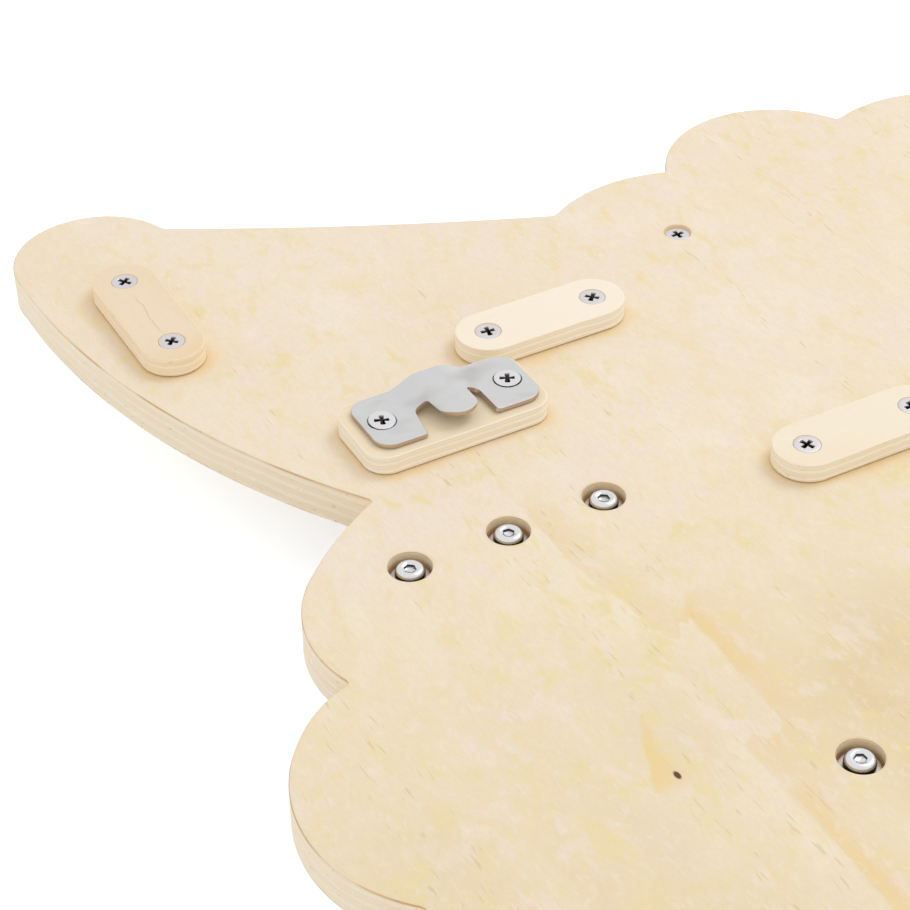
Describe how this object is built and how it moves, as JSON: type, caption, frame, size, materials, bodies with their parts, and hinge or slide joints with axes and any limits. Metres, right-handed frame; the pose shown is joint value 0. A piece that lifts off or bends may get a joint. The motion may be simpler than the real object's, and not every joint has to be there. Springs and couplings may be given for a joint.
{
  "type": "wall busy board",
  "caption": "Animal-head busy board of birch plywood with turning gears, a spinner, wheels and sliding beads in front, and spacer pads and steel hanging plates behind.",
  "frame": {"origin": "bottom centre of the whole board's bounding box as it lies face down: the middle of the board, in the plane on which its front pieces stand", "axes": "+X to the right seen from the back, +Y up the wall towards the ears, +Z out of the board's back, towards the wall when it hangs"},
  "size_m": [0.5182, 0.4, 0.0499],
  "materials": {
    "panel_plywood": "natural birch plywood, sanded, unpainted",
    "pad_plywood": "pale birch plywood, sanded, unpainted",
    "turned_beech": "turned beech, waxed",
    "plate_steel": "satin zinc-plated pressed steel",
    "screw_steel": "satin zinc-plated steel",
    "bolt_steel": "bright zinc-plated steel",
    "ochre_paint": "satin water-based paint on wood, ochre",
    "sage_paint": "satin water-based paint on wood, sage green",
    "slate_paint": "satin water-based paint on wood, slate blue"
  },
  "bodies": {
    "board": {"board_panel": "panel_plywood", "ear_pad_left": "pad_plywood", "ear_pad_left_screw_1": "screw_steel", "ear_pad_left_screw_2": "screw_steel", "brow_pad_left": "pad_plywood", "brow_pad_left_screw_1": "screw_steel", "brow_pad_left_screw_2": "screw_steel", "eye_pad_left": "pad_plywood", "eye_pad_left_screw_1": "screw_steel", "eye_pad_left_screw_2": "screw_steel", "hanger_block_left": "pad_plywood", "hanger_plate_left": "plate_steel", "hanger_screw_left_1": "bolt_steel", "hanger_screw_left_2": "bolt_steel", "rail_screw_left": "screw_steel", "rail_post_left": "turned_beech", "ear_pad_right": "pad_plywood", "ear_pad_right_screw_1": "screw_steel", "ear_pad_right_screw_2": "screw_steel", "brow_pad_right": "pad_plywood", "brow_pad_right_screw_1": "screw_steel", "brow_pad_right_screw_2": "screw_steel", "eye_pad_right": "pad_plywood", "eye_pad_right_screw_1": "screw_steel", "eye_pad_right_screw_2": "screw_steel", "hanger_block_right": "pad_plywood", "hanger_plate_right": "plate_steel", "hanger_screw_right_1": "bolt_steel", "hanger_screw_right_2": "bolt_steel", "rail_screw_right": "screw_steel", "rail_post_right": "turned_beech", "rail_rod": "bolt_steel", "nose": "ochre_paint", "gear_1_bolt": "bolt_steel", "gear_1_sleeve": "bolt_steel", "gear_1_washer": "bolt_steel", "gear_2_bolt": "bolt_steel", "gear_2_sleeve": "bolt_steel", "gear_2_washer": "bolt_steel", "gear_3_bolt": "bolt_steel", "gear_3_sleeve": "bolt_steel", "gear_3_washer": "bolt_steel", "spinner_bolt": "bolt_steel", "spinner_sleeve": "bolt_steel", "spinner_washer": "bolt_steel", "wheel_left_bolt": "bolt_steel", "wheel_left_sleeve": "bolt_steel", "wheel_left_washer": "bolt_steel", "wheel_right_bolt": "bolt_steel", "wheel_right_sleeve": "bolt_steel", "wheel_right_washer": "bolt_steel"},
    "gear_1": {"gear_1": "ochre_paint"},
    "gear_2": {"gear_2": "sage_paint"},
    "gear_3": {"gear_3": "slate_paint"},
    "spinner": {"spinner": "ochre_paint"},
    "wheel_left": {"wheel_left": "slate_paint"},
    "wheel_right": {"wheel_right": "slate_paint"},
    "bead_1": {"bead_1": "ochre_paint"},
    "bead_2": {"bead_2": "sage_paint"},
    "bead_3": {"bead_3": "slate_paint"}
  },
  "joints": [
    {"name": "gear_1_turn", "type": "hinge", "parent": "board", "child": "gear_1", "pos_m": [-0.19439, 0.0027, 0.0224], "axis": [0, 0, 1], "continuous": true},
    {"name": "gear_2_turn", "type": "hinge", "parent": "board", "child": "gear_2", "pos_m": [-0.16529, 0.0027, 0.0224], "axis": [0, 0, 1], "continuous": true},
    {"name": "gear_3_turn", "type": "hinge", "parent": "board", "child": "gear_3", "pos_m": [-0.13619, 0.0027, 0.0224], "axis": [0, 0, 1], "continuous": true},
    {"name": "spinner_turn", "type": "hinge", "parent": "board", "child": "spinner", "pos_m": [0.16529, 0.0027, 0.0204], "axis": [0, 0, 1], "continuous": true},
    {"name": "wheel_left_turn", "type": "hinge", "parent": "board", "child": "wheel_left", "pos_m": [-0.1345, -0.1092, 0.0088], "axis": [0, 0, 1], "continuous": true},
    {"name": "wheel_right_turn", "type": "hinge", "parent": "board", "child": "wheel_right", "pos_m": [0.1345, -0.1092, 0.0088], "axis": [0, 0, 1], "continuous": true},
    {"name": "bead_1_slide", "type": "slide", "parent": "board", "child": "bead_1", "axis": [1, 0, 0], "range_m": [0, 0.01126]},
    {"name": "bead_2_slide", "type": "slide", "parent": "board", "child": "bead_2", "axis": [1, 0, 0], "range_m": [0, 0.01126]},
    {"name": "bead_3_slide", "type": "slide", "parent": "board", "child": "bead_3", "axis": [1, 0, 0], "range_m": [0, 0.01126]}
  ],
  "couplings": [
    {"joint": "gear_2_turn", "follows": "gear_1_turn", "ratio": -1},
    {"joint": "gear_3_turn", "follows": "gear_1_turn", "ratio": 1}
  ]
}
